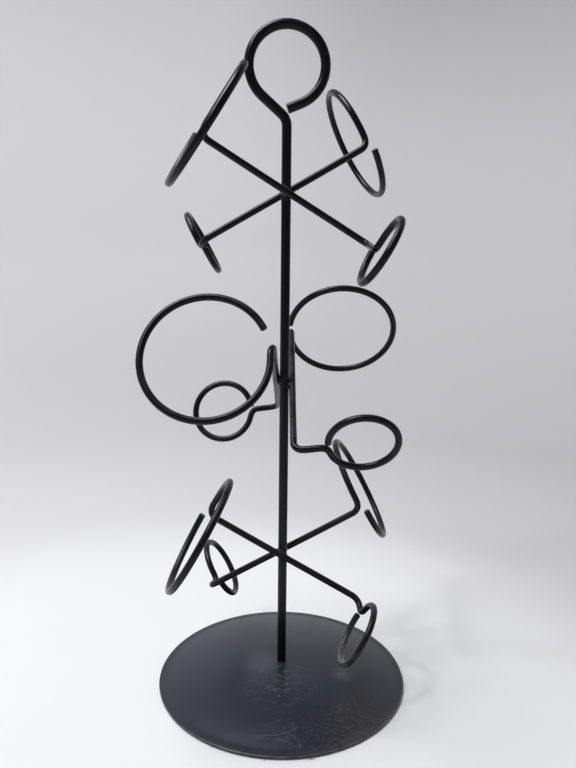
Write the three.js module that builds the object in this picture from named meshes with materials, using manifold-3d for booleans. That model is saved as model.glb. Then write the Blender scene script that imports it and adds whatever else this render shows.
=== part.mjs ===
// A wine bottle tree: a freestanding rack of bent steel wire that holds six bottles, neck down.
//
// A rod with an eye loop on its top stands on a round domed plate. Six wires are welded across
// it, two at each of three levels. Each wire has a large ring at its high end for a bottle's
// body and a small ring at its low end for the neck, joined by a straight sloping bar.
//
// Millimetres and degrees, +Z up. The rod's axis is the Z axis, and the rack stands on Z = 0.

import * as THREE from 'three';
import { mergeVertices } from 'three/addons/utils/BufferGeometryUtils.js';
import Module from 'manifold-3d';

const wasm = await Module();
wasm.setup();

// ---- Driving dimensions ----

const GAP = 0.3; // air left between neighbouring solids

const FELT = { outerRadius: 110.5, innerRadius: 105, thickness: 1.2 };

const PLATE = {
  radius: 111.5,
  thickness: 2,
  rise: 12, // the middle's height above the rim
  rimWidth: 6, // flat band around the dome
  padRadius: 10, // flat middle that the rod's foot stands on
  holeRadius: 2.8,
  edgeBevel: 0.4,
};

const ROD = {
  radius: 4,
  neckBendRadius: 12,
  neckTurn: 49, // how far the rod leans out before the loop comes back over it
  loopRadius: 30.5,
  loopHeight: 531.5,
  loopSweep: 297,
  loopHeading: 3, // direction of the loop's plane about Z
  tailLength: 12,
  tappedRadius: 2.5,
  tappedDepth: 14,
};

const WASHER = { outerRadius: 7.5, innerRadius: 2.8, thickness: 1.2 };

const SCREW = {
  headRadius: 4.75,
  headHeight: 3,
  shankRadius: 2.2,
  length: 14,
  socketRadius: 1.6,
  socketDepth: 1.8,
};

const WIRE = {
  radius: 2.8,
  barLength: 160, // between the planes of the two rings
  bodyRingRadius: 48.7,
  neckRingRadius: 27,
  bendReach: 8, // how far from a bar's end its bend begins
  neckBendReach: 6,
  neckPitch: -2, // how far a whole turn of the neck ring rises along the bar
};

const WELD = { reach: 6, height: 3 };

const LEFT = 1;
const RIGHT = -1;

// Each wire slopes down along its heading, and passes the rod at a height, on its left or right
// side as seen looking down the slope. ahead is the distance from the body ring to the rod.
// Bending and welding by hand left the rest: the roll about the bar, and for each ring its lean
// about its spoke to the bar and about its tangent there, and its shift towards the bar and
// around it. bodyPitch is how far a whole turn of the body ring rises along the bar, and the
// openings are the degrees that each ring lacks of a whole turn at its free end.
const WIRES = [
  {
    name: 'upper_front',
    height: 434, side: RIGHT, heading: 7, slope: 31, ahead: 81, roll: 4,
    bodyLean: [2, 6], bodyShift: [-3, 5], bodyPitch: -2, bodyOpening: 1,
    neckLean: [-2, -2], neckShift: [-14, -3], neckOpening: 4,
  },
  {
    name: 'upper_rear',
    height: 434, side: RIGHT, heading: 188, slope: 30, ahead: 81, roll: -6,
    bodyLean: [-2, -2], bodyShift: [-4, 1], bodyPitch: -4, bodyOpening: 7,
    neckLean: [-1, -5], neckShift: [7, -6], neckOpening: 2,
  },
  {
    name: 'middle_left',
    height: 279, side: LEFT, heading: 89, slope: 29, ahead: 80, roll: 3,
    bodyLean: [-1, 1], bodyShift: [-2, 9], bodyPitch: -7, bodyOpening: 13,
    neckLean: [6, 5], neckShift: [-4, 3], neckOpening: 5,
  },
  {
    name: 'middle_right',
    height: 276, side: LEFT, heading: 271, slope: 30, ahead: 80, roll: -8,
    bodyLean: [-3, 2], bodyShift: [2, 8], bodyPitch: -1, bodyOpening: 5,
    neckLean: [-2, 0], neckShift: [-5, 0], neckOpening: 5,
  },
  {
    name: 'lower_front',
    height: 121, side: RIGHT, heading: 5, slope: 32, ahead: 78, roll: 16,
    bodyLean: [-4, -3], bodyShift: [3, 10], bodyPitch: -4, bodyOpening: 5,
    neckLean: [-5, -7], neckShift: [7, -3], neckOpening: 4,
  },
  {
    name: 'lower_rear',
    height: 122, side: RIGHT, heading: 174, slope: 31, ahead: 80, roll: -3,
    bodyLean: [-3, 2], bodyShift: [0, 1], bodyPitch: -4, bodyOpening: 5,
    neckLean: [-1, 4], neckShift: [4, -5], neckOpening: 3,
  },
];

// ---- Heights of the base's stack, from the ground up ----

const RIM_UNDERSIDE = FELT.thickness + GAP;
const RIM_TOP = RIM_UNDERSIDE + PLATE.thickness;
const PAD_TOP = RIM_TOP + PLATE.rise;
const ROD_FOOT = PAD_TOP + GAP;
const WASHER_TOP = PAD_TOP - PLATE.thickness - GAP;
const SCREW_SEAT = WASHER_TOP - WASHER.thickness - GAP;

// ---- How finely round shapes are divided ----

const PLATE_SEGMENTS = 64;
const SMALL_SEGMENTS = 20;
const ROD_SIDES = 12;
const WIRE_SIDES = 8;
const BODY_RING_STEPS = 32;
const NECK_RING_STEPS = 24;
const LOOP_STEPS = 30;
const CORNER_STEPS = 3;

// ---- Materials ----

const blackCoat = { color: 0x17171a, roughness: 0.42, metalness: 0.35 };
const plateCoat = { color: 0x2b2e36, roughness: 0.5, metalness: 0.35 };
const zinc = { color: 0x9a9c9e, roughness: 0.4, metalness: 0.9 };
const darkFelt = { color: 0x1e1e1e, roughness: 1, metalness: 0 };

// ---- Small helpers ----

const radians = THREE.MathUtils.degToRad;

/** The sum of two vectors, each times its own weight. */
function blend(first, firstWeight, second, secondWeight) {
  return first.clone().multiplyScalar(firstWeight).addScaledVector(second, secondWeight);
}

function addPiece(group, name, geometry, finish) {
  const mesh = new THREE.Mesh(geometry, new THREE.MeshStandardMaterial(finish));
  mesh.name = name;
  group.add(mesh);
  return mesh;
}

/** A solid of revolution about Z, from an outline of [radius, height] points. */
function turned(outline, segments) {
  const points = outline.map(([radius, height]) => new THREE.Vector2(radius, height));
  return new THREE.LatheGeometry(points, segments).rotateX(Math.PI / 2);
}

/** A cylinder from one point to another. */
function cylinderBetween(start, end, radius, segments) {
  const axis = end.clone().sub(start);
  const upright = new THREE.Vector3(0, 1, 0);
  const turn = new THREE.Quaternion().setFromUnitVectors(upright, axis.clone().normalize());
  const middle = start.clone().lerp(end, 0.5);
  return new THREE.CylinderGeometry(radius, radius, axis.length(), segments)
    .applyQuaternion(turn)
    .translate(middle.x, middle.y, middle.z);
}

function toSolid(geometry) {
  const bare = geometry.clone();
  bare.deleteAttribute('normal');
  bare.deleteAttribute('uv');
  const merged = mergeVertices(bare);
  const vertProperties = merged.attributes.position.array;
  const triVerts = merged.index.array;
  return new wasm.Manifold(new wasm.Mesh({ numProp: 3, vertProperties, triVerts }));
}

/** The first geometry with every other one cut out of it. */
function cutAway(geometry, ...tools) {
  const solid = tools.reduce((left, tool) => left.subtract(toSolid(tool)), toSolid(geometry));
  const mesh = solid.getMesh();
  const result = new THREE.BufferGeometry();
  result.setAttribute('position', new THREE.BufferAttribute(mesh.vertProperties, 3));
  result.setIndex(new THREE.BufferAttribute(mesh.triVerts, 1));
  result.computeVertexNormals();
  return result;
}

// ---- Bent wire ----

/** A turn of round wire: from one angle to another about a centre, rising along its axis. */
class Turn extends THREE.Curve {
  constructor({ centre, spoke, around, axis, radius, from, to, pitch = 0 }) {
    super();
    Object.assign(this, { centre, spoke, around, axis, radius, from, to, pitch });
  }

  getPoint(t, target = new THREE.Vector3()) {
    const degrees = THREE.MathUtils.lerp(this.from, this.to, t);
    return target
      .copy(this.centre)
      .addScaledVector(this.spoke, this.radius * Math.cos(radians(degrees)))
      .addScaledVector(this.around, this.radius * Math.sin(radians(degrees)))
      .addScaledVector(this.axis, (this.pitch * degrees) / 360);
  }
}

/** Runs of wire laid end to end, each divided into its own number of steps. */
class BentWire extends THREE.Curve {
  constructor(runs) {
    super();
    this.runs = runs;
    this.steps = runs.reduce((sum, run) => sum + run.steps, 0);
  }

  getPoint(t, target = new THREE.Vector3()) {
    let step = t * this.steps;
    for (const run of this.runs) {
      if (step <= run.steps) return run.curve.getPoint(step / run.steps, target);
      step -= run.steps;
    }
    return this.runs.at(-1).curve.getPoint(1, target);
  }

  /** Steps follow the runs and not the length, so a straight run takes a single step. */
  getUtoTmapping(u) {
    return u;
  }
}

/** A round bend from the end of one curve to the start of the next. */
function corner(before, after) {
  const start = before.getPoint(1);
  const end = after.getPoint(0);
  const startDirection = before.getTangent(1);
  const endDirection = after.getTangent(0);
  const quarterTurn = startDirection.angleTo(endDirection) / 4;
  const handle = start.distanceTo(end) / (3 * Math.cos(quarterTurn) ** 2);
  return new THREE.CubicBezierCurve3(
    start,
    start.clone().addScaledVector(startDirection, handle),
    end.clone().addScaledVector(endDirection, -handle),
    end,
  );
}

/** Joins runs into one wire, with a corner wherever two of them don't meet. */
function bend(runs) {
  const joined = [runs[0]];
  for (const run of runs.slice(1)) {
    const before = joined.at(-1).curve;
    const apart = before.getPoint(1).distanceTo(run.curve.getPoint(0));
    if (apart > GAP) joined.push({ curve: corner(before, run.curve), steps: CORNER_STEPS });
    joined.push(run);
  }
  return new BentWire(joined);
}

function straight(start, end) {
  return { curve: new THREE.LineCurve3(start, end), steps: 1 };
}

/** Round bar of the given radius along a bent path. */
function roundBar(path, radius, sides) {
  const section = new THREE.Shape().absarc(0, 0, radius, 0, 2 * Math.PI);
  return new THREE.ExtrudeGeometry(section, {
    steps: path.steps,
    curveSegments: sides / 2, // a full circle gets two sides for each
    extrudePath: path,
    bevelEnabled: false,
  });
}

// ---- The base ----

/** Points along one face of the dome, from the flat pad out to the rim. */
function domeFace(padHeight) {
  const span = PLATE.radius - PLATE.rimWidth - PLATE.padRadius;
  const sphereRadius = (span ** 2 + PLATE.rise ** 2) / (2 * PLATE.rise);
  const stops = [0, 0.25, 0.5, 0.75, 1];
  return stops.map((stop) => {
    const out = stop * span;
    const drop = sphereRadius - Math.sqrt(sphereRadius ** 2 - out ** 2);
    return [PLATE.padRadius + out, padHeight - drop];
  });
}

function basePlate() {
  const { radius, thickness, holeRadius, edgeBevel } = PLATE;
  return turned([
    [holeRadius, PAD_TOP - thickness],
    ...domeFace(PAD_TOP - thickness),
    [radius - edgeBevel, RIM_UNDERSIDE],
    [radius, RIM_UNDERSIDE + edgeBevel],
    [radius, RIM_TOP - edgeBevel],
    [radius - edgeBevel, RIM_TOP],
    ...domeFace(PAD_TOP).reverse(),
    [holeRadius, PAD_TOP],
    [holeRadius, PAD_TOP - thickness],
  ], PLATE_SEGMENTS);
}

/** A flat ring whose underside is at the given height. */
function flatRing({ innerRadius, outerRadius, thickness }, underside, segments) {
  return turned([
    [innerRadius, underside],
    [outerRadius, underside],
    [outerRadius, underside + thickness],
    [innerRadius, underside + thickness],
    [innerRadius, underside],
  ], segments);
}

/** A round-headed screw that comes up through the plate into the rod, with a hexagon socket. */
function baseScrew() {
  const { headRadius, headHeight, shankRadius, length, socketRadius, socketDepth } = SCREW;
  const headBottom = SCREW_SEAT - headHeight;
  const tip = SCREW_SEAT + length;
  const body = turned([
    [0, headBottom],
    [headRadius - 1, headBottom],
    [headRadius, headBottom + 1],
    [headRadius, SCREW_SEAT],
    [shankRadius, SCREW_SEAT],
    [shankRadius, tip - 0.6],
    [shankRadius - 0.6, tip],
    [0, tip],
  ], SMALL_SEGMENTS);
  const socketStart = new THREE.Vector3(0, 0, headBottom - 1);
  const socketEnd = new THREE.Vector3(0, 0, headBottom + socketDepth);
  return cutAway(body, cylinderBetween(socketStart, socketEnd, socketRadius, 6));
}

// ---- The rod ----

/** Straight up, out to one side, around the loop, and back to the foot of the loop. */
function rodPath() {
  const heading = radians(ROD.loopHeading);
  const across = new THREE.Vector3(Math.cos(heading), Math.sin(heading), 0);
  const up = new THREE.Vector3(0, 0, 1);
  const turn = radians(ROD.neckTurn);
  const bothRadii = ROD.neckBendRadius + ROD.loopRadius;
  const strand = (bothRadii * Math.cos(turn) - ROD.neckBendRadius) / Math.sin(turn);
  const stemTop = ROD.loopHeight - bothRadii * Math.sin(turn) - strand * Math.cos(turn);
  const at = (x, z) => blend(across, x, up, z);

  const foot = at(0, ROD_FOOT);
  const centre = at(0, ROD.loopHeight);
  const loop = new Turn({
    centre,
    spoke: across,
    around: up,
    axis: across.clone().cross(up),
    radius: ROD.loopRadius,
    from: 180 + ROD.neckTurn,
    to: 180 + ROD.neckTurn - ROD.loopSweep,
  });
  const loopStart = loop.getPoint(0);
  const loopEnd = loop.getPoint(1);
  const strandStart = loopStart.clone().addScaledVector(loop.getTangent(0), -strand);
  const tip = loopEnd.clone().addScaledVector(loop.getTangent(1), ROD.tailLength);
  return bend([
    straight(foot, at(0, stemTop)),
    straight(strandStart, loopStart),
    { curve: loop, steps: LOOP_STEPS },
    straight(loopEnd, tip),
  ]);
}

function centreRod() {
  const bar = roundBar(rodPath(), ROD.radius, ROD_SIDES);
  const holeStart = new THREE.Vector3(0, 0, ROD_FOOT - 1);
  const holeEnd = new THREE.Vector3(0, 0, ROD_FOOT + ROD.tappedDepth);
  return cutAway(bar, cylinderBetween(holeStart, holeEnd, ROD.tappedRadius, ROD_SIDES));
}

// ---- The wires ----

/** Directions that belong to a wire: down its slope, up from it, and away from the rod. */
function wireDirections({ heading, slope, side }) {
  const along = new THREE.Vector3(Math.cos(radians(heading)), Math.sin(radians(heading)), 0);
  const up = new THREE.Vector3(0, 0, 1);
  const travel = blend(along, Math.cos(radians(slope)), up, -Math.sin(radians(slope)));
  const left = up.clone().cross(along);
  return { travel, lift: travel.clone().cross(left), outward: left.multiplyScalar(side) };
}

/** A ring's spoke to the bar and its tangent there, leaning out of square by two small angles. */
function leaningRing(spoke, around, travel, [aboutSpoke, aboutTangent]) {
  return {
    spoke: blend(spoke, Math.cos(radians(aboutTangent)), travel, -Math.sin(radians(aboutTangent))),
    around: blend(around, Math.cos(radians(aboutSpoke)), travel, Math.sin(radians(aboutSpoke))),
    axis: travel,
  };
}

/** The angle, in degrees, that an arc of this length spans. */
function arcAngle(length, radius) {
  return THREE.MathUtils.radToDeg(length / radius);
}

function wirePath(wire) {
  const { travel, lift, outward } = wireDirections(wire);
  const roll = radians(wire.roll);
  const spoke = blend(outward, -Math.cos(roll), lift, Math.sin(roll));
  const around = travel.clone().cross(spoke);

  const crossing = outward.clone().multiplyScalar(ROD.radius + GAP + WIRE.radius);
  crossing.z += wire.height;
  const barStart = crossing.clone().addScaledVector(travel, -wire.ahead);
  const barEnd = barStart.clone().addScaledVector(travel, WIRE.barLength);

  const body = leaningRing(spoke, around, travel, wire.bodyLean);
  const [bodyTowardsBar, bodyAroundBar] = wire.bodyShift;
  const bodyShiftAngle = arcAngle(bodyAroundBar, WIRE.bodyRingRadius);
  const bodyRing = new Turn({
    ...body,
    centre: barStart
      .clone()
      .addScaledVector(body.spoke, -WIRE.bodyRingRadius)
      .addScaledVector(spoke, bodyTowardsBar)
      .addScaledVector(around, bodyAroundBar),
    radius: WIRE.bodyRingRadius,
    from: 360 - wire.bodyOpening - bodyShiftAngle,
    to: arcAngle(WIRE.bendReach, WIRE.bodyRingRadius) - bodyShiftAngle,
    pitch: wire.bodyPitch,
  });

  const neck = leaningRing(spoke, around, travel, wire.neckLean);
  const [neckTowardsBar, neckAroundBar] = wire.neckShift;
  const neckRing = new Turn({
    ...neck,
    centre: barEnd
      .clone()
      .addScaledVector(spoke, neckTowardsBar - WIRE.bodyRingRadius)
      .addScaledVector(around, neckAroundBar),
    radius: WIRE.neckRingRadius,
    from: arcAngle(WIRE.neckBendReach, WIRE.neckRingRadius),
    to: 360 - wire.neckOpening,
    pitch: WIRE.neckPitch,
  });

  const joint = neckRing.centre.clone().addScaledVector(neck.spoke, WIRE.neckRingRadius);
  const inward = joint.clone().sub(barEnd).normalize();
  return bend([
    { curve: bodyRing, steps: BODY_RING_STEPS },
    straight(
      barStart.clone().addScaledVector(travel, WIRE.bendReach),
      barEnd.clone().addScaledVector(travel, -WIRE.bendReach),
    ),
    straight(
      barEnd.clone().addScaledVector(inward, WIRE.bendReach),
      joint.clone().addScaledVector(inward, -WIRE.neckBendReach),
    ),
    { curve: neckRing, steps: NECK_RING_STEPS },
  ]);
}

/** Weld metal around the point where a wire's bar touches the rod, clear of both. */
function weldBead(wire) {
  const { travel, outward } = wireDirections(wire);
  const middle = outward.clone().multiplyScalar(ROD.radius + GAP / 2);
  middle.z += wire.height;
  const sideways = new THREE.Vector3(1, 0, 0);
  const bead = new THREE.SphereGeometry(1, SMALL_SEGMENTS / 2, 8)
    .scale(WELD.height, WELD.reach, WELD.reach)
    .applyQuaternion(new THREE.Quaternion().setFromUnitVectors(sideways, outward))
    .translate(middle.x, middle.y, middle.z);

  const rodReach = new THREE.Vector3(0, 0, 2 * WELD.reach);
  const rodMiddle = new THREE.Vector3(0, 0, wire.height);
  const rodRoom = cylinderBetween(
    rodMiddle.clone().sub(rodReach),
    rodMiddle.clone().add(rodReach),
    ROD.radius + GAP,
    SMALL_SEGMENTS,
  );
  const barMiddle = outward.clone().multiplyScalar(ROD.radius + GAP + WIRE.radius).add(rodMiddle);
  const wireRoom = cylinderBetween(
    barMiddle.clone().addScaledVector(travel, -2 * WELD.reach),
    barMiddle.clone().addScaledVector(travel, 2 * WELD.reach),
    WIRE.radius + GAP,
    SMALL_SEGMENTS,
  );
  return cutAway(bead, rodRoom, wireRoom);
}

// ---- The whole rack ----

const rack = new THREE.Group();

addPiece(rack, 'felt_ring', flatRing(FELT, 0, PLATE_SEGMENTS), darkFelt);
addPiece(rack, 'base_plate', basePlate(), plateCoat);
addPiece(rack, 'base_washer', flatRing(WASHER, SCREW_SEAT + GAP, SMALL_SEGMENTS), zinc);
addPiece(rack, 'base_screw', baseScrew(), zinc);
addPiece(rack, 'centre_rod', centreRod(), blackCoat);

for (const wire of WIRES) {
  const bar = roundBar(wirePath(wire), WIRE.radius, WIRE_SIDES);
  addPiece(rack, `wire_${wire.name}`, bar, blackCoat);
  addPiece(rack, `weld_${wire.name}`, weldBead(wire), blackCoat);
}

export default rack;
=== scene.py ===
"""The looks of a wine bottle tree: painted rod and bent wires on a domed steel plate.

Every piece is a finer mesh of a CAD node. A bent bar's centre-line, its radius and its place are
read from that node. The camera's place, aim and lens come from a fit to the photograph, and the
tones were set against it. Lengths are in metres.
"""

import math

import bmesh
import bpy
import numpy as np
from mathutils import Matrix, Vector


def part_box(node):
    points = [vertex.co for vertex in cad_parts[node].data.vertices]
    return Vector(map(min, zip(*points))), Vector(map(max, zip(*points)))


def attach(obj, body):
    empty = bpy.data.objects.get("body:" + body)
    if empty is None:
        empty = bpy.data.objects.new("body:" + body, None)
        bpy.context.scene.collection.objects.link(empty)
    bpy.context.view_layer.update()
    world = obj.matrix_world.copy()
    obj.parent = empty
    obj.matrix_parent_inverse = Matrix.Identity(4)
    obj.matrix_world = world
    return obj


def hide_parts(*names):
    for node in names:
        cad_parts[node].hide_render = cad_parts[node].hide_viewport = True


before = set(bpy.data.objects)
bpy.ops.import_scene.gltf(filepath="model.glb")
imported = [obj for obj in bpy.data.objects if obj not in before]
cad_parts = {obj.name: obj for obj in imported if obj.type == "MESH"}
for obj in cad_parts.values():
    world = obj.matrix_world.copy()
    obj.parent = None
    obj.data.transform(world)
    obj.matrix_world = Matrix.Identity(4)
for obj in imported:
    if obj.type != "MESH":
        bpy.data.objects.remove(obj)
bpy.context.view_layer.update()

MM = 0.001

# Reading bars from the frame
SAME_PLACE = 0.01 * MM  # points that lie this close are one point
FLAT = math.radians(0.05)  # faces that lie this close to one plane are one face
FEWEST_SIDES = 8  # a CAD bar's cross-section has at least this many

# How finely the bars are divided
WIRE_SIDES = 24
ROD_SIDES = 32
BAR_STEP = 1.4 * MM
CUT_EDGE = 0.5 * MM  # round edge that a cut bar's end has
EDGE_RINGS = 4
FACE_RINGS = (0.02, 0.55)  # rings of points on a cut face, as shares of the bar's radius

# Weld metal in the corner between a wire and the rod
WELD_FILLET = 6.5 * MM
WELD_REACH = 9 * MM
WELD_MIDDLE = 0.55  # where its middle lies between the rod's axis and the wire's
WELD_RIPPLE = 0.25 * MM  # how uneven its surface is
WELD_SINK = 0.04 * MM  # how far the weld's thin edge lies under the bars' surface
WELD_TURNS = 72
WELD_BANDS = 40
WELD_HALVINGS = 24  # steps in finding the weld's surface
TINY = 0.001 * MM  # keeps a fillet that has faded out from being zero

# The base plate, as in the CAD: a shallow dome with a flat rim
PLATE_THICKNESS = 2 * MM
RIM_WIDTH = 6 * MM
PAD_RADIUS = 10 * MM
HOLE_RADIUS = 2.8 * MM
PLATE_EDGE = 0.6 * MM
PLATE_SIDES = 288
PLATE_RINGS = 90
RIM_BLEND = 0.6 * MM  # how softly the dome runs out into the rim
RIM_DROP = 0.3 * MM  # how far the rim's edge lies below a flat rim's
RIM_DROP_POWER = 8  # the higher, the nearer to the edge the drop starts

# The felt ring and the fibres pulled loose from it
FELT_WIDTH = 5.5 * MM
FELT_EDGE = 0.4 * MM
FELT_SIDES = 360
FELT_STRAY = 0.12 * MM  # how ragged its edges are
FIBRE_RADIUS = 0.16 * MM
FIBRE_SIDES = 6
FIBRE_POINTS = 26
FIBRE_ROOT = 1.5 * MM  # how far under the rim it starts
FIBRE_HEIGHT = 0.5 * MM  # its height at both ends
FIBRE_RISE = 0.6 * MM  # how much higher it is halfway
FIBRES = [  # degrees around the plate, size in mm and turns of curl
    (-97, 4, 0.5), (-78, 6, 1.1), (-75, 3, 0.6), (-119, 3.5, 0.7), (40, 3, 0.8), (150, 3.5, 0.9),
]

# The washer and the screw under the plate
WASHER_EDGE = 0.2 * MM
WASHER_SIDES = 64
SCREW_SIDES = 48
SCREW_CENTRE = 0.02 * MM  # radius of the tiny rings that close the screw's ends
SCREW_HEAD_HEIGHT = 3 * MM
SCREW_CROWN = 2.2 * MM  # height of the head's round part
SOCKET_RADIUS = 1.6 * MM  # of the hexagon's corners
SOCKET_DEPTH = 1.8 * MM
SOCKET_CONE = 0.4 * MM  # height of the cone at the socket's end
SOCKET_MARGIN = 0.4 * MM  # flat ring around the socket
SHANK_RADIUS = 2.2 * MM
SHANK_TAPER = 0.5 * MM
THREAD_PITCH = 0.8 * MM
THREAD_DEPTH = 0.35 * MM

# Marks on the plate: places in mm from its middle
# Middle of a paler cloudy patch beside the rod
PALE_PATCH = (-18, -2)
STREAKS = (0, -34)
RING_DUST = (55, -16)
FRONT_DUST = (4, -95)
RUBBED_SIDE = (80, -92)
BARE_MARK = (0.16, 0.17, 0.18)  # colour of specks and scratches
SCRATCHES = [  # arcs: centre, radius and width, then the middle and reach of the part that shows
    ((-12, -45), 47.4, 0.4, (-2, -92), 22),
    ((0, -104), 16.2, 0.35, (12, -93), 12),
    ((150, -100), 108.2, 0.5, (49, -60), 9),
]

# Camera and room
CAMERA_PLACE = Vector((3.3, -589.2, 385)) * MM
CAMERA_PITCH = 10.55  # degrees down
CAMERA_ROLL = 0.64  # degrees
CAMERA_LENS = 32.77  # focal length in mm
ROOM_RADIUS = 1.35
ROOM_HEIGHT = 2.6
ROOM_SIDES = 96
SWEEP_RADIUS = 0.45
SWEEP_POINTS = 17
LIGHT_POOL_MIDDLE = Vector((-80, -90, 0)) * MM  # middle of the painted pool of light on the floor

plate_low, plate_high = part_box("base_plate")
rng = np.random.default_rng(7)


# ---- Reading bars from the frame ----


def unit(rows):
    """Each row scaled to length 1."""
    return rows / np.linalg.norm(rows, axis=-1, keepdims=True)


def bar_sections(node):
    """The corners of a bent bar's cross-sections, from its highest cut end to the other one.

    The walk also ends at a flat foot, because the rod's foot has a hole drilled into it.
    """
    work = bmesh.new()
    work.from_mesh(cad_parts[node].data)
    bmesh.ops.remove_doubles(work, verts=work.verts, dist=SAME_PLACE)
    bmesh.ops.dissolve_limit(work, angle_limit=FLAT, verts=work.verts, edges=work.edges)
    work.verts.index_update()
    places = np.array([vert.co for vert in work.verts])
    neighbours = [{edge.other_vert(vert).index for edge in vert.link_edges} for vert in work.verts]
    ends = [face for face in work.faces if len(face.verts) >= FEWEST_SIDES]
    top_end = max(ends, key=lambda face: face.calc_center_median().z)
    ring = {vert.index for vert in top_end.verts}
    work.free()

    lowest = places[:, 2].min()
    seen = set()
    sections = []
    while ring:
        sections.append(places[sorted(ring)])
        if sections[-1][:, 2].max() < lowest + SAME_PLACE:
            break
        seen |= ring
        ring = set().union(*(neighbours[index] for index in ring)) - seen
    return sections


def read_bar(node):
    """A bent bar's centre-line points and its radius."""
    sections = bar_sections(node)
    points = np.array([section.mean(axis=0) for section in sections])
    radius = np.linalg.norm(sections[0] - points[0], axis=1).max()
    return points, radius


def directions(points):
    """The direction of a smooth line at each of its points."""
    chords = unit(np.diff(points, axis=0))
    middle = unit(points[2:] - points[:-2])
    # Each end keeps the bend of the stretch beside it
    first = 2 * (chords[0] @ middle[0]) * chords[0] - middle[0]
    last = 2 * (chords[-1] @ middle[-1]) * chords[-1] - middle[-1]
    return np.vstack([first, middle, last])


def smooth_line(points, step):
    """A smooth line through points, divided into short steps."""
    heads = directions(points)
    line = [points[:1]]
    for start, end, leave, arrive in zip(points[:-1], points[1:], heads[:-1], heads[1:]):
        length = np.linalg.norm(end - start)
        count = max(2, math.ceil(length / step))
        t = np.linspace(0, 1, count + 1)[1:, None]
        line.append(
            (2 * t**3 - 3 * t**2 + 1) * start
            + (t**3 - 2 * t**2 + t) * length * leave
            + (3 * t**2 - 2 * t**3) * end
            + (t**3 - t**2) * length * arrive
        )
    return np.vstack(line)


# ---- Meshes ----


def add_mesh(name, verts, faces, material, attributes=None):
    """A smooth-shaded object of a mesh, with named numbers on its points."""
    mesh = bpy.data.meshes.new(name)
    mesh.from_pydata([tuple(vert) for vert in verts], [], faces)
    mesh.validate()
    mesh.shade_smooth()
    for key, values in (attributes or {}).items():
        layer = mesh.attributes.new(key, "FLOAT", "POINT")
        layer.data.foreach_set("value", np.asarray(values, np.float32))
    piece = bpy.data.objects.new(name, mesh)
    piece.data.materials.append(material)
    bpy.context.scene.collection.objects.link(piece)
    return piece


def stand_for(piece, node):
    """Puts a piece in a CAD node's place."""
    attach(piece, "root")
    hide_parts(node)


def ring_faces(ring_count, sides, closed=False):
    """Four-cornered faces between each ring of points and the next."""
    faces = []
    last = ring_count if closed else ring_count - 1
    for ring in range(last):
        near = ring * sides
        far = (ring + 1) % ring_count * sides
        for side in range(sides):
            other = (side + 1) % sides
            faces.append((near + side, near + other, far + other, far + side))
    return faces


def capped_faces(ring_count, sides):
    """The faces between rings of points, and one over each open end."""
    first_end = tuple(range(sides))[::-1]
    last_end = tuple(range((ring_count - 1) * sides, ring_count * sides))
    return ring_faces(ring_count, sides) + [first_end, last_end]


def around(sides):
    """Angles evenly spaced around a circle."""
    return np.linspace(0, 2 * math.pi, sides, endpoint=False)


def carried_frames(line):
    """Two directions across a line at each point, carried along it without twisting."""
    heads = directions(line)
    # Any start that isn't along the line will do
    start = np.array([0.0, 0.0, 1.0]) if abs(heads[0][2]) < 0.9 else np.array([1.0, 0.0, 0.0])
    across = unit(np.cross(heads[0], start))
    rows = []
    for head in heads:
        across = unit(across - (across @ head) * head)
        rows.append(across)
    rows = np.array(rows)
    return rows, np.cross(heads, rows)


def rounded_ends(line, radius):
    """Adds the round edges and flat faces of both cut ends: points, radii and wear."""
    turn = np.linspace(math.pi / 2, 0, EDGE_RINGS)
    face_radii = radius * np.array(FACE_RINGS)
    radii = np.concatenate([face_radii, radius - CUT_EDGE * (1 - np.cos(turn))])
    inset = np.concatenate([np.zeros(len(FACE_RINGS)), CUT_EDGE * (1 - np.sin(turn))])
    along = unit(line[1] - line[0])
    back = unit(line[-2] - line[-1])
    start = line[0] + along * inset[:, None]
    end = line[-1] + back * inset[:, None]
    started = np.linalg.norm(line - line[0], axis=1) > 2 * CUT_EDGE
    unfinished = np.linalg.norm(line - line[-1], axis=1) > 2 * CUT_EDGE
    body = line[started & unfinished]
    points = np.vstack([start, body, end[::-1]])
    all_radii = np.concatenate([radii, np.full(len(body), radius), radii[::-1]])
    wear = np.zeros(len(points))
    wear[: len(radii)] = 1
    wear[-len(radii):] = 1
    return points, all_radii, wear


def closed_tube(points, radii, rows, columns, sides):
    """Points and faces of a tube, from its rings' centres, radii and two directions across."""
    angles = around(sides)[:, None]
    verts = []
    for point, radius, row, column in zip(points, radii, rows, columns):
        verts.extend(point + radius * (np.cos(angles) * row + np.sin(angles) * column))
    return verts, capped_faces(len(points), sides)


def round_bar(name, line, radius, sides, material):
    """Round bar along a line, with its ends cut square and their edges broken."""
    rows, columns = carried_frames(line)
    points, radii, wear = rounded_ends(line, radius)
    nearest = [np.argmin(np.linalg.norm(line - point, axis=1)) for point in points]
    verts, faces = closed_tube(points, radii, rows[nearest], columns[nearest], sides)
    return add_mesh(name, verts, faces, material, {"cut_end": np.repeat(wear, sides)})


def turned_points(outline, sides):
    """The points of an outline of (radius, height) pairs, turned about Z."""
    return [
        (radius * math.cos(angle), radius * math.sin(angle), height)
        for radius, height in outline
        for angle in around(sides)
    ]


def turned(name, outline, sides, material):
    """A solid of revolution about Z, from a closed outline of (radius, height) pairs."""
    verts = turned_points(outline, sides)
    return add_mesh(name, verts, ring_faces(len(outline), sides, closed=True), material)


def quarter(centre, radius, start, count=5):
    """Points of a quarter circle in an outline, turning left from a start angle in degrees."""
    return [
        (centre[0] + radius * math.cos(angle), centre[1] + radius * math.sin(angle))
        for angle in np.radians(np.linspace(start, start + 90, count))
    ]


# ---- The base ----


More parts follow.
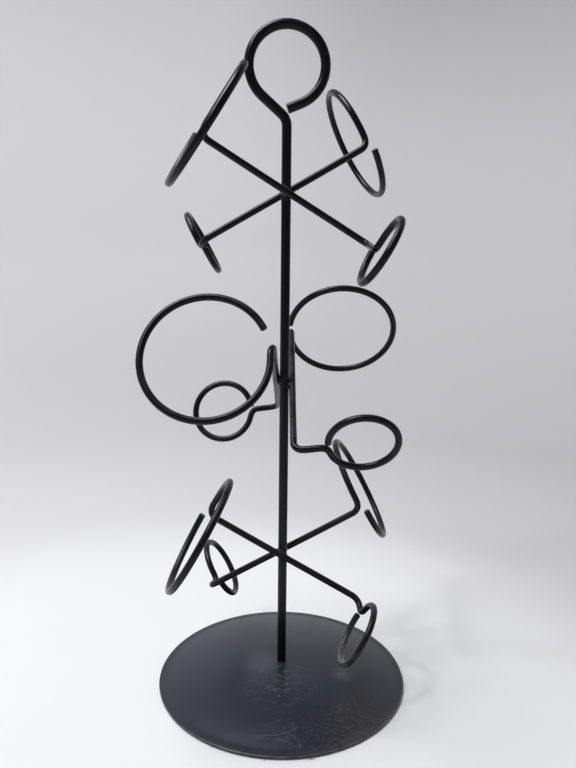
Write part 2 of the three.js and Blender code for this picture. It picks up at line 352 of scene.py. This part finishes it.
def plate_top(radius):
    """The height of the plate's upper side at a distance from its middle.

    It is a spherical cap around a flat pad, blended into a rim whose edge drops a little.
    """
    outer = plate_high.x
    rim_top = plate_low.z + PLATE_THICKNESS
    rise = plate_high.z - rim_top
    span = outer - RIM_WIDTH - PAD_RADIUS
    sphere = (span**2 + rise**2) / (2 * rise)
    out = max(0.0, radius - PAD_RADIUS)
    cap = rise - (sphere - math.sqrt(sphere**2 - out**2))
    dome = (cap + math.hypot(cap, RIM_BLEND)) / 2
    return rim_top + dome - RIM_DROP * (radius / outer) ** RIM_DROP_POWER


def plate_outline():
    """The domed plate's section, from the hole outwards over the top and back underneath."""
    bottom = plate_low.z
    flat_end = plate_high.x - PLATE_EDGE
    radii = np.linspace(HOLE_RADIUS, flat_end, PLATE_RINGS)
    upper = [(radius, plate_top(radius)) for radius in radii]
    upper_edge = quarter((flat_end, plate_top(flat_end) - PLATE_EDGE), PLATE_EDGE, 0)[::-1]
    lower_edge = quarter((flat_end, bottom + PLATE_EDGE), PLATE_EDGE, -90)[::-1]
    # The underside is hardly seen, so every third ring is enough
    lower = [(radius, max(bottom, plate_top(radius) - PLATE_THICKNESS)) for radius in radii[::-3]]
    return upper + upper_edge[1:] + lower_edge + lower[1:]


def make_plate(material):
    piece = turned("base_plate_fine", plate_outline(), PLATE_SIDES, material)
    stand_for(piece, "base_plate")


def fibre_line(degrees, size, turns, edge_radius):
    """The route of a loose fibre that curls out on the floor from under the rim."""
    t = np.linspace(0, 1, FIBRE_POINTS)
    curl = turns * 2 * math.pi * t
    out = edge_radius - FIBRE_ROOT + size * (t * 0.7 + 0.35 * (1 - np.cos(curl)) / 2)
    across = size * 0.9 * (t - 0.5) + size * 0.4 * np.sin(curl)
    height = FIBRE_HEIGHT + FIBRE_RISE * np.sin(math.pi * t)
    angle = math.radians(degrees)
    heading = np.array([math.cos(angle), math.sin(angle), 0])
    sideways = np.array([-math.sin(angle), math.cos(angle), 0])
    return out[:, None] * heading + across[:, None] * sideways + height[:, None] * [0, 0, 1]


def make_felt(material):
    """The felt ring, with a ragged edge and a few fibres pulled loose."""
    low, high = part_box("felt_ring")
    outer = high.x
    inner = outer - FELT_WIDTH
    section = [
        (inner, low.z + FELT_EDGE / 4), (inner + FELT_EDGE, low.z), (outer - FELT_EDGE, low.z),
        (outer, low.z + FELT_EDGE * 3 / 4), (outer, high.z - FELT_EDGE / 4), (inner, high.z),
    ]
    ragged = rng.normal(0, FELT_STRAY, (len(section), FELT_SIDES))
    verts = [
        ((radius + stray) * math.cos(angle), (radius + stray) * math.sin(angle), height)
        for (radius, height), strays in zip(section, ragged)
        for stray, angle in zip(strays, around(FELT_SIDES))
    ]
    faces = ring_faces(len(section), FELT_SIDES, closed=True)
    for degrees, size, turns in FIBRES:
        line = fibre_line(degrees, size * MM, turns, outer)
        radii = np.full(len(line), FIBRE_RADIUS)
        tube_verts, tube_faces = closed_tube(line, radii, *carried_frames(line), FIBRE_SIDES)
        start = len(verts)
        verts.extend(tube_verts)
        faces.extend(tuple(index + start for index in face) for face in tube_faces)
    piece = add_mesh("felt_ring_fine", verts, faces, material)
    stand_for(piece, "felt_ring")


def make_washer(material):
    """The washer, with its four edges rounded."""
    low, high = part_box("base_washer")
    outer = high.x - WASHER_EDGE
    inner = HOLE_RADIUS + WASHER_EDGE
    bottom = low.z + WASHER_EDGE
    top = high.z - WASHER_EDGE
    corners = [(outer, bottom), (outer, top), (inner, top), (inner, bottom)]
    outline = []
    for turn, corner in enumerate(corners):
        outline += quarter(corner, WASHER_EDGE, 90 * turn - 90)
    piece = turned("base_washer_fine", outline, WASHER_SIDES, material)
    stand_for(piece, "base_washer")


def hexagon_points(radius, height):
    """A ring of the screw's points, placed on a hexagon with corners at the radius."""
    twelfth = math.pi / 6
    points = []
    for angle in around(SCREW_SIDES):
        from_flat = (angle + twelfth) % (2 * twelfth) - twelfth
        reach = radius * math.cos(twelfth) / math.cos(from_flat)
        points.append((reach * math.cos(angle), reach * math.sin(angle), height))
    return points


def head_outline(head, bottom):
    """The round of the screw's head, from the flat ring at its socket out to its widest part."""
    flat = SOCKET_RADIUS + SOCKET_MARGIN
    return [
        (flat + (head - flat) * math.sin(angle), bottom + SCREW_CROWN * (1 - math.cos(angle)))
        for angle in np.radians([0, 25, 50, 75, 90])
    ]


def thread_outline(seat, top):
    """The threaded shank's outline, up from the head: a groove in each pitch."""
    outline = [(SHANK_RADIUS, seat)]
    for groove in range(int((top - seat - THREAD_PITCH) / THREAD_PITCH)):
        start = seat + THREAD_PITCH * (groove + 0.5)
        outline.append((SHANK_RADIUS, start))
        outline.append((SHANK_RADIUS - THREAD_DEPTH, start + 0.4 * THREAD_PITCH))
        outline.append((SHANK_RADIUS, start + 0.8 * THREAD_PITCH))
    return outline + [(SHANK_RADIUS - SHANK_TAPER, top)]


def make_screw(material):
    """The round head from below with its hexagon socket, and the threaded shank."""
    low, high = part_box("base_screw")
    bottom = low.z
    seat = bottom + SCREW_HEAD_HEIGHT
    socket_end = bottom + SOCKET_DEPTH
    outline = head_outline(high.x, bottom) + [(high.x, seat)] + thread_outline(seat, high.z)
    verts = turned_points([(SCREW_CENTRE, socket_end + SOCKET_CONE)], SCREW_SIDES)
    verts += hexagon_points(SOCKET_RADIUS, socket_end)
    verts += hexagon_points(SOCKET_RADIUS, bottom)
    verts += turned_points(outline + [(SCREW_CENTRE, high.z)], SCREW_SIDES)
    faces = capped_faces(len(verts) // SCREW_SIDES, SCREW_SIDES)
    piece = add_mesh("base_screw_fine", verts, faces, material)
    stand_for(piece, "base_screw")


# ---- The rod, the wires and their welds ----


def make_bar(node, sides, material):
    """A finer bar in a CAD bar's place. Returns the line's points and the radius it read."""
    points, radius = read_bar(node)
    line = smooth_line(points, BAR_STEP)
    piece = round_bar(node + "_fine", line, radius, sides, material)
    stand_for(piece, node)
    return points, radius


def longest_run(points):
    """The start of a wire's longest straight run, which is its bar, and the bar's direction."""
    steps = np.linalg.norm(np.diff(points, axis=0), axis=1)
    index = int(steps.argmax())
    return points[index], unit(points[index + 1] - points[index])


def ball_rays(turns, bands):
    """Directions all around a point: up, then bands of sloping ones, then down."""
    azimuth, tilt = np.meshgrid(around(turns), np.linspace(0, math.pi, bands + 1)[1:-1])
    flat = np.sin(tilt)
    rays = np.stack([flat * np.cos(azimuth), flat * np.sin(azimuth), np.cos(tilt)], -1)
    return np.vstack([[[0, 0, 1]], rays.reshape(-1, 3), [[0, 0, -1]]])


def ball_faces(turns, bands):
    """The faces of a ball whose points lie along the rays of ball_rays."""
    last = turns * (bands - 1) + 1
    faces = [tuple(index + 1 for index in face)[::-1] for face in ring_faces(bands - 1, turns)]
    for side in range(turns):
        other = (side + 1) % turns
        faces.append((0, 1 + side, 1 + other))
        faces.append((last, last - turns + other, last - turns + side))
    return faces


def surface_reach(outside, count):
    """How far out the weld's surface lies along each ray, found by halving."""
    inner = np.zeros(count)
    outer = np.full(count, WELD_REACH)
    free = outside(outer) > 0
    for _ in range(WELD_HALVINGS):
        half = (inner + outer) / 2
        out = outside(half) > 0
        outer = np.where(out, half, outer)
        inner = np.where(out, inner, half)
    return np.where(free, inner, WELD_REACH)


def make_weld(node, wire_points, wire_radius, rod_radius, material):
    """Weld metal that fills the corners where a wire's bar crosses the rod."""
    start, along = longest_run(wire_points)
    flat = np.array([along[0], along[1]])
    crossing = start - (start[:2] @ flat) / (flat @ flat) * along
    middle = crossing * [WELD_MIDDLE, WELD_MIDDLE, 1]
    rays = ball_rays(WELD_TURNS, WELD_BANDS)
    # Slow waves that differ from side to side
    ripple = WELD_RIPPLE * np.sin(rays @ [5, 3, 7]) * np.sin(rays @ [-6, 4, 2])

    def outside(reach):
        """How far points at this reach along the rays lie outside the weld's surface."""
        points = middle + rays * reach[:, None]
        from_rod = np.hypot(points[:, 0], points[:, 1]) - rod_radius
        offset = points - crossing
        from_wire = np.linalg.norm(offset - (offset @ along)[:, None] * along, axis=1) - wire_radius
        fade = np.clip(1 - (reach / WELD_REACH) ** 2, 0, 1)
        fillet = WELD_FILLET * fade + TINY
        near = np.clip(fillet - abs(from_rod - from_wire), 0, None) / fillet
        surface = np.minimum(from_rod, from_wire) - near**2 * (fillet / 4 + ripple * fade)
        return surface + WELD_SINK

    verts = middle + rays * surface_reach(outside, len(rays))[:, None]
    unworn = {"cut_end": np.zeros(len(verts))}
    piece = add_mesh(node + "_fine", verts, ball_faces(WELD_TURNS, WELD_BANDS), material, unworn)
    stand_for(piece, node)


# ---- Materials ----


class Paint:
    """A material being made: each call adds nodes and returns what they give."""

    def __init__(self, name):
        self.material = bpy.data.materials.new(name)
        self.material.use_nodes = True
        self.nodes = self.material.node_tree.nodes
        self.links = self.material.node_tree.links
        self.shader = self.nodes["Principled BSDF"]
        self.place = self.nodes.new("ShaderNodeTexCoord").outputs["Object"]

    def give(self, socket, value):
        """Sets a socket to a number or colour, or links another node's output to it."""
        if isinstance(value, bpy.types.NodeSocket):
            self.links.new(value, socket)
        else:
            socket.default_value = value

    def noise(self, scale, detail=3, roughness=0.55, stretch=(1, 1, 1)):
        """Cloudy noise; a stretch below 1 draws it out along that axis."""
        mapping = self.nodes.new("ShaderNodeMapping")
        self.give(mapping.inputs["Vector"], self.place)
        mapping.inputs["Scale"].default_value = stretch
        node = self.nodes.new("ShaderNodeTexNoise")
        self.give(node.inputs["Vector"], mapping.outputs["Vector"])
        node.inputs["Scale"].default_value = scale
        node.inputs["Detail"].default_value = detail
        node.inputs["Roughness"].default_value = roughness
        return node.outputs["Fac"]

    def specks(self, scale, size):
        """Small dots, 1 at their middles and 0 between them."""
        node = self.nodes.new("ShaderNodeTexVoronoi")
        self.give(node.inputs["Vector"], self.place)
        node.inputs["Scale"].default_value = scale
        return self.ramp(node.outputs["Distance"], size, 0)

    def ramp(self, value, low, high):
        """0 at low and below, 1 at high and above; low may be the larger one."""
        node = self.nodes.new("ShaderNodeMapRange")
        node.interpolation_type = "SMOOTHSTEP"
        self.give(node.inputs["Value"], value)
        node.inputs["From Min"].default_value = low
        node.inputs["From Max"].default_value = high
        return node.outputs["Result"]

    def span(self, value, low, high):
        """Maps 0..1 to low..high."""
        node = self.nodes.new("ShaderNodeMapRange")
        self.give(node.inputs["Value"], value)
        node.inputs["To Min"].default_value = low
        node.inputs["To Max"].default_value = high
        return node.outputs["Result"]

    def calculate(self, operation, *values):
        """One operation on the first two values, then on that result and the next, and so on."""
        result = values[0]
        for value in values[1:]:
            node = self.nodes.new("ShaderNodeMath")
            node.operation = operation
            self.give(node.inputs[0], result)
            self.give(node.inputs[1], value)
            result = node.outputs[0]
        return result

    def total(self, *values):
        return self.calculate("ADD", *values)

    def product(self, *values):
        return self.calculate("MULTIPLY", *values)

    def size_of(self, value):
        """A number without its sign."""
        node = self.nodes.new("ShaderNodeMath")
        node.operation = "ABSOLUTE"
        self.give(node.inputs[0], value)
        return node.outputs[0]

    def mix(self, amount, first, second):
        """A colour between two others."""
        node = self.nodes.new("ShaderNodeMix")
        node.data_type = "RGBA"
        # Sockets 6 and 7 take the two colours, and output 2 gives one: their names aren't unique
        self.give(node.inputs["Factor"], amount)
        for socket, value in ((node.inputs[6], first), (node.inputs[7], second)):
            colour = value if isinstance(value, bpy.types.NodeSocket) else (*value, 1)
            self.give(socket, colour)
        return node.outputs[2]

    def near(self, centre, reach, core):
        """1 within core of a point of the object, fading to 0 at reach."""
        return self.ramp(self.distance_to(centre), reach, core)

    def distance_to(self, centre):
        """The distance from a point of the object."""
        node = self.nodes.new("ShaderNodeVectorMath")
        node.operation = "DISTANCE"
        self.give(node.inputs[0], self.place)
        node.inputs[1].default_value = centre
        return node.outputs["Value"]

    def parts(self, vector):
        """The X, Y and Z of a vector, by name."""
        node = self.nodes.new("ShaderNodeSeparateXYZ")
        self.give(node.inputs[0], vector)
        return node.outputs

    def facing_up(self, low=0.1, high=0.9):
        """0 where the surface's direction rises less than low, 1 where it rises more than high."""
        normal = self.nodes.new("ShaderNodeNewGeometry").outputs["Normal"]
        return self.ramp(self.parts(normal)["Z"], low, high)

    def named(self, attribute):
        """A number that the mesh holds at its points."""
        node = self.nodes.new("ShaderNodeAttribute")
        node.attribute_name = attribute
        return node.outputs["Fac"]

    def bump(self, height, depth, strength, before=None):
        """A surface direction tipped by a height from 0 to 1 that stands for a depth in metres."""
        node = self.nodes.new("ShaderNodeBump")
        self.give(node.inputs["Height"], height)
        node.inputs["Distance"].default_value = depth
        node.inputs["Strength"].default_value = strength
        if before is not None:
            self.give(node.inputs["Normal"], before)
        return node.outputs["Normal"]

    def finish(self, colour, roughness, normal, constants=None):
        """Gives the shader its inputs, and constants to other sockets by name."""
        self.give(self.shader.inputs["Base Color"], colour)
        self.give(self.shader.inputs["Roughness"], roughness)
        self.give(self.shader.inputs["Normal"], normal)
        for name, value in (constants or {}).items():
            self.shader.inputs[name].default_value = value
        return self.material


def black_coat():
    """Satin black powder coat: orange-peel skin, thin dust on top that also paints a highlight,
    rubbed cut ends.
    """
    paint = Paint("black_coat")
    colour = paint.mix(paint.noise(90, 4), (0.0022, 0.0020, 0.0034), (0.0054, 0.0050, 0.0080))

    # Dust on the upward-facing sides, which also paints the soft grey highlight that light from
    # above gives their tops
    patches = paint.ramp(paint.noise(45, 5, 0.65), 0.25, 0.75)
    dust = paint.product(paint.facing_up(), patches, 0.35)
    colour = paint.mix(dust, colour, (0.076, 0.074, 0.080))

    wire_points = read_bar("wire_lower_front")[0]
    lowest = wire_points[wire_points[:, 2].argmin()]
    grains = paint.ramp(paint.noise(300, 5, 0.7), 0.25, 0.60)
    scuffs = paint.product(paint.near(lowest, 42 * MM, 4 * MM), grains, 0.85)
    colour = paint.mix(scuffs, colour, (0.12, 0.12, 0.125))

    rubbed = paint.product(paint.named("cut_end"), paint.ramp(paint.noise(600), 0.45, 0.7), 0.5)
    colour = paint.mix(rubbed, colour, (0.06, 0.057, 0.055))

    roughness = paint.total(paint.span(paint.noise(260, 3), 0.20, 0.27), paint.product(dust, 0.4))
    peel = paint.bump(paint.noise(1100, 2), 0.05 * MM, 0.5)
    normal = paint.bump(paint.noise(170, 2), 0.08 * MM, 0.2, peel)
    return paint.finish(colour, roughness, normal, {"IOR": 1.31})


def on_plate(place):
    """The point of the plate's upper side at, or nearest to, a place in mm from its middle."""
    across = Vector(place) * MM
    return Vector((*across, plate_top(min(across.length, plate_high.x))))


def arc_scratch(paint, centre, radius, width, middle, reach):
    """A thin scratch along an arc of a circle, near a point of it. All lengths are in mm."""
    from_centre = paint.distance_to(on_plate(centre))
    off_line = paint.size_of(paint.calculate("SUBTRACT", from_centre, radius * MM))
    line = paint.ramp(off_line, width * MM, width * 0.3 * MM)
    return paint.product(line, paint.near(on_plate(middle), reach * MM, reach * 0.5 * MM))


def upper_side(paint):
    """1 on the plate's upper side, 0 underneath."""
    return paint.facing_up(-0.5, 0.1)


def plate_scuffs(paint):
    """Pale marks: a paler cloudy patch beside the rod, short streaks before it, and dust below a
    ring.
    """
    cloud = paint.noise(80, 5, 0.7)
    # A paler cloudy patch beside the rod
    pale_patch = paint.product(paint.near(on_plate(PALE_PATCH), 24 * MM, 2 * MM), cloud, 0.8)
    streaks = paint.ramp(paint.noise(270, 6, 0.8, stretch=(0.55, 1, 1)), 0.51, 0.68)
    before_rod = paint.product(paint.near(on_plate(STREAKS), 42 * MM, 10 * MM), streaks, 1.1)
    grains = paint.ramp(paint.noise(300, 5, 0.7), 0.40, 0.55)
    below_ring = paint.product(paint.near(on_plate(RING_DUST), 13 * MM, 2 * MM), grains, 0.95)
    front_dust = paint.product(paint.near(on_plate(FRONT_DUST), 34 * MM, 4 * MM), streaks, 0.5)
    return paint.product(paint.total(pale_patch, before_rod, below_ring, front_dust), upper_side(paint))


def rubbed_paint(paint):
    """Brown grains where the paint is rubbed thin, on one side of the plate."""
    side = paint.near(on_plate(RUBBED_SIDE), 74 * MM, 16 * MM)
    grains = paint.ramp(paint.noise(620, 5, 0.75), 0.49, 0.59)
    patches = paint.span(paint.noise(55, 4, 0.6), 0.1, 1.1)
    return paint.product(side, upper_side(paint), patches, paint.span(grains, 0.06, 1))


def plate_coat():
    """Dark blue-grey paint on the plate: scuffs by the rod, scratches, specks and a rubbed side."""
    paint = Paint("plate_coat")
    colour = paint.mix(paint.noise(14, 5, 0.6), (0.0065, 0.0105, 0.0215), (0.0125, 0.0185, 0.034))

    scuffs = plate_scuffs(paint)
    colour = paint.mix(scuffs, colour, (0.085, 0.095, 0.115))
    rubbed = rubbed_paint(paint)
    colour = paint.mix(rubbed, colour, (0.125, 0.088, 0.070))

    specks = paint.product(paint.specks(120, 0.1), paint.ramp(paint.noise(60, 2), 0.56, 0.66), 0.6)
    colour = paint.mix(specks, colour, BARE_MARK)
    for scratch in SCRATCHES:
        colour = paint.mix(paint.product(arc_scratch(paint, *scratch), 0.4), colour, BARE_MARK)

    from_middle = paint.distance_to((0, 0, plate_low.z))
    # Chipped paint along the rim's edge, which also paints the thin highlight line that the edge
    # catches
    rim = paint.ramp(from_middle, plate_high.x - 0.9 * MM, plate_high.x - 0.3 * MM)
    chips_and_edge_highlight = paint.product(rim, paint.ramp(paint.noise(120, 4, 0.6), 0.42, 0.6), 0.3)
    colour = paint.mix(chips_and_edge_highlight, colour, (0.20, 0.20, 0.21))

    worn = paint.product(paint.total(rubbed, scuffs), 0.35)
    roughness = paint.total(paint.span(paint.noise(40, 4), 0.27, 0.38), worn)
    peel = paint.bump(paint.noise(900, 3), 0.06 * MM, 0.5)
    normal = paint.bump(paint.noise(28, 3), 0.5 * MM, 0.12, peel)
    return paint.finish(colour, roughness, normal, {"IOR": 1.6})


def dark_felt():
    """Matted black felt."""
    paint = Paint("dark_felt")
    colour = paint.mix(paint.noise(700, 4), (0.010, 0.010, 0.011), (0.045, 0.044, 0.044))
    roughness = paint.span(paint.noise(300), 0.85, 1.0)
    normal = paint.bump(paint.noise(1500, 4), 0.4 * MM, 0.9)
    return paint.finish(colour, roughness, normal, {"Sheen Weight": 0.4})


def zinc():
    """Bright zinc plate with dull blooms."""
    paint = Paint("zinc")
    bloom = paint.noise(260, 4)
    colour = paint.mix(bloom, (0.42, 0.42, 0.40), (0.62, 0.63, 0.64))
    normal = paint.bump(paint.noise(1800, 2), 0.03 * MM, 0.5)
    return paint.finish(colour, paint.span(bloom, 0.45, 0.25), normal, {"Metallic": 0.95})


def paper_with_painted_light():
    """Matt paper with painted light: a pale pool of light around the plate, greyer further out, and
    painted shade higher up and on the right.

    It is darkest on the camera's side, a painted shade that shows only in reflections.
    """
    paint = Paint("paper_with_painted_light")
    place = paint.parts(paint.place)
    # Painted light and shade from side to side: the floor near the plate is paler to the right,
    # lifting its shade, and the wall and high wall are darker to the right
    rightward = paint.ramp(place["X"], -0.25, 0.35)
    floor = paint.mix(rightward, (0.81, 0.815, 0.835), (0.92, 0.925, 0.94))
    far_floor = paint.mix(rightward, (0.68, 0.68, 0.70), (0.67, 0.665, 0.68))
    wall = paint.mix(rightward, (0.79, 0.79, 0.81), (0.73, 0.725, 0.74))
    high_wall_shade = paint.mix(rightward, (0.66, 0.66, 0.68), (0.42, 0.42, 0.43))

    far = paint.mix(paint.ramp(place["Z"], 0.02, 0.40), far_floor, wall)
    # Painted shade higher up the wall
    far = paint.mix(paint.ramp(place["Z"], 0.45, 1.5), far, high_wall_shade)
    # A painted pool of light: the floor is pale around the plate and greyer further out
    colour = paint.mix(paint.near(LIGHT_POOL_MIDDLE, 0.55, 0.30), far, floor)
    # Painted shade on the camera's side, which shows only in reflections
    camera_side_shade = paint.product(paint.ramp(place["Y"], 0.5, -0.3), paint.ramp(place["Z"], 0.0, 0.25))
    colour = paint.mix(camera_side_shade, colour, (0.25, 0.25, 0.26))

    grain = paint.bump(paint.noise(300, 3), 0.1 * MM, 0.2)
    return paint.finish(colour, 0.9, paint.bump(paint.noise(7, 4), 8 * MM, 0.25, grain))


# ---- The room ----


def make_room():
    """A round pale floor that sweeps up into a wall all around."""
    section = [(ROOM_RADIUS * share, 0.0) for share in (0.01, 0.2, 0.4, 0.6)]
    sweep_centre = (ROOM_RADIUS - SWEEP_RADIUS, SWEEP_RADIUS)
    section += quarter(sweep_centre, SWEEP_RADIUS, -90, SWEEP_POINTS)
    section.append((ROOM_RADIUS, ROOM_HEIGHT))
    faces = ring_faces(len(section), ROOM_SIDES)
    faces.append(tuple(range(ROOM_SIDES)))
    room = add_mesh("room_sweep", turned_points(section, ROOM_SIDES), faces, paper_with_painted_light())


def add_light(name, place, target, size, power):
    """A round lamp that faces a target. The size is its diameter, and the power is in watts."""
    light = bpy.data.lights.new(name, "AREA")
    light.shape = "DISK"
    light.size = size
    light.energy = power
    lamp = bpy.data.objects.new(name, light)
    lamp.location = place
    lamp.rotation_euler = (Vector(target) - Vector(place)).to_track_quat("-Z", "Y").to_euler()
    bpy.context.scene.collection.objects.link(lamp)


def light_room():
    """A soft lamp high on the left, a small weak one at the front left, and a nearly dark sky."""
    add_light("key", (-0.54, -0.05, 1.6), (0.08, 0.05, 0), 0.9, 23)
    add_light("front_lamp", (-0.75, -0.6, 1.3), (0, 0, 0.3), 0.16, 4)
    world = bpy.data.worlds.new("room_light")
    bpy.context.scene.world = world
    world.use_nodes = True
    sky = world.node_tree.nodes["Background"]
    sky.inputs["Color"].default_value = (0.95, 0.97, 1, 1)
    sky.inputs["Strength"].default_value = 0.03


def add_camera():
    """A camera in front of the tree, a little above its middle, tipped down at it."""
    data = bpy.data.cameras.new("camera")
    data.lens = CAMERA_LENS
    data.clip_start = 0.01
    camera = bpy.data.objects.new("camera", data)
    pitch = Matrix.Rotation(math.radians(90 - CAMERA_PITCH), 4, "X")
    roll = Matrix.Rotation(math.radians(CAMERA_ROLL), 4, "Z")
    camera.matrix_world = Matrix.Translation(CAMERA_PLACE) @ pitch @ roll
    bpy.context.scene.collection.objects.link(camera)
    bpy.context.scene.camera = camera


add_camera()
light_room()
make_room()
bpy.context.scene.view_settings.view_transform = "Standard"

black = black_coat()
bright = zinc()
make_plate(plate_coat())
make_felt(dark_felt())
make_washer(bright)
make_screw(bright)
rod_radius = make_bar("centre_rod", ROD_SIDES, black)[1]
for wire_node in sorted(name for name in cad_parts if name.startswith("wire_")):
    wire_points, wire_radius = make_bar(wire_node, WIRE_SIDES, black)
    weld_node = wire_node.replace("wire_", "weld_")
    make_weld(weld_node, wire_points, wire_radius, rod_radius, black)
